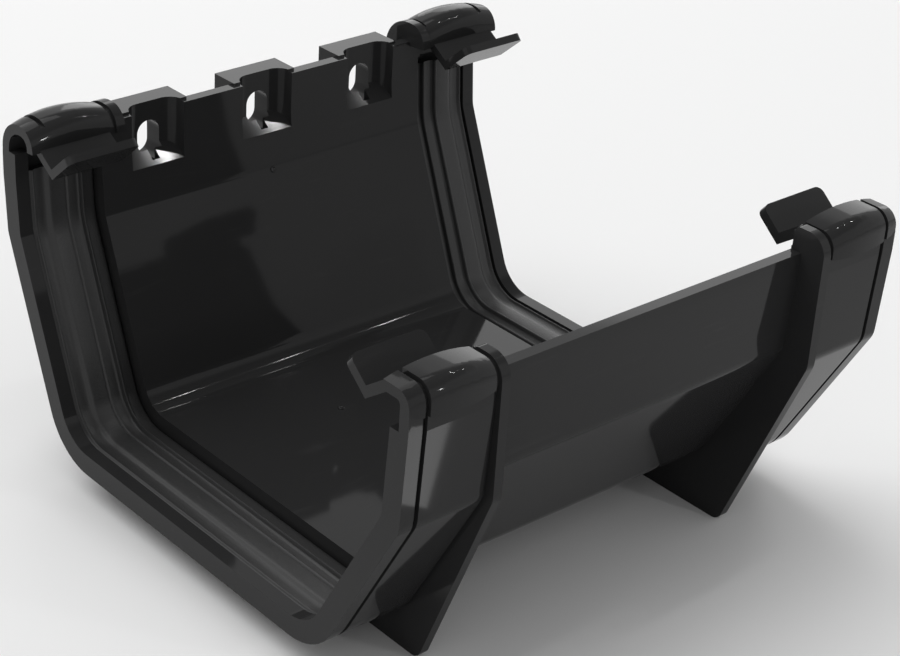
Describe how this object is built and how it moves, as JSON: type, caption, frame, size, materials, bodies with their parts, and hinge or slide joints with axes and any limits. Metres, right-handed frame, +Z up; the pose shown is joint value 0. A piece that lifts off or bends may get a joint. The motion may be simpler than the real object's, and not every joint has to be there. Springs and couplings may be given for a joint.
{
  "type": "gutter union",
  "caption": "Union bracket that joins two lengths of square-section rain gutter end to end, with a rubber seal in each socket.",
  "frame": {"origin": "Middle of the footprint, level with the feet of the two webs.", "axes": "X runs along the gutter, +Y points to the fascia board behind, +Z is up."},
  "size_m": [0.12, 0.1261, 0.075],
  "materials": {
    "body": "glossy",
    "seal": "satin"
  },
  "bodies": {
    "root": {"union_body": "body", "left_seal": "seal", "right_seal": "seal"}
  },
  "joints": []
}
